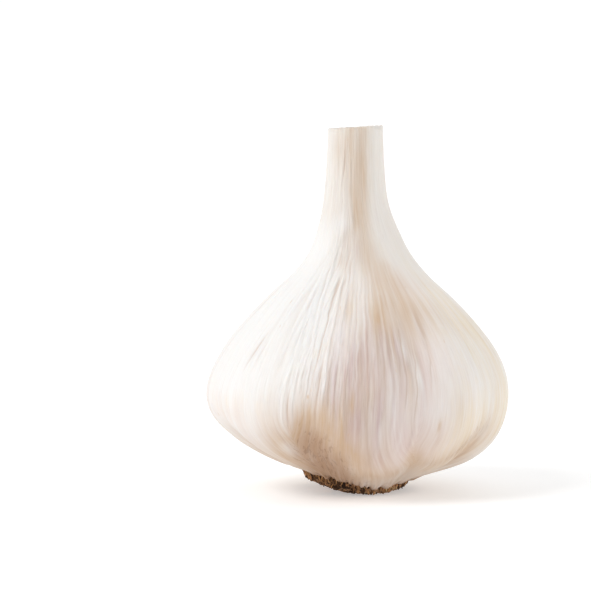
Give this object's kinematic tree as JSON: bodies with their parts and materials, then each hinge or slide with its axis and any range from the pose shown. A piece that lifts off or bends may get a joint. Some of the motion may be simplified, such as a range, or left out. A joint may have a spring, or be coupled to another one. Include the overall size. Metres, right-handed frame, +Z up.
{
  "type": "garlic bulb",
  "caption": "Whole dry garlic bulb in papery skins that gather into a cut neck, on its woody root plate with trimmed roots.",
  "frame": {"origin": "on the surface that the bulb stands on, under the middle of its bounding box", "axes": "+Z up along the neck; -Y is the pictured front; +X is to the right of that view"},
  "size_m": [0.0614, 0.0596, 0.0743],
  "materials": {
    "skin": "satin",
    "root_plate": "matte",
    "root": "matte"
  },
  "bodies": {
    "root": {"bulb": "skin", "root_plate": "root_plate", "root_stub_01": "root", "root_stub_02": "root", "root_stub_03": "root", "root_stub_04": "root", "root_stub_05": "root", "root_stub_06": "root", "root_stub_07": "root", "root_stub_08": "root", "root_stub_09": "root", "root_stub_10": "root", "root_stub_11": "root", "root_stub_12": "root", "root_stub_13": "root", "root_stub_14": "root", "root_stub_15": "root", "root_stub_16": "root", "root_stub_17": "root", "root_stub_18": "root", "root_stub_19": "root", "root_stub_20": "root", "root_stub_21": "root", "root_stub_22": "root", "root_stub_23": "root", "root_stub_24": "root"}
  },
  "joints": []
}
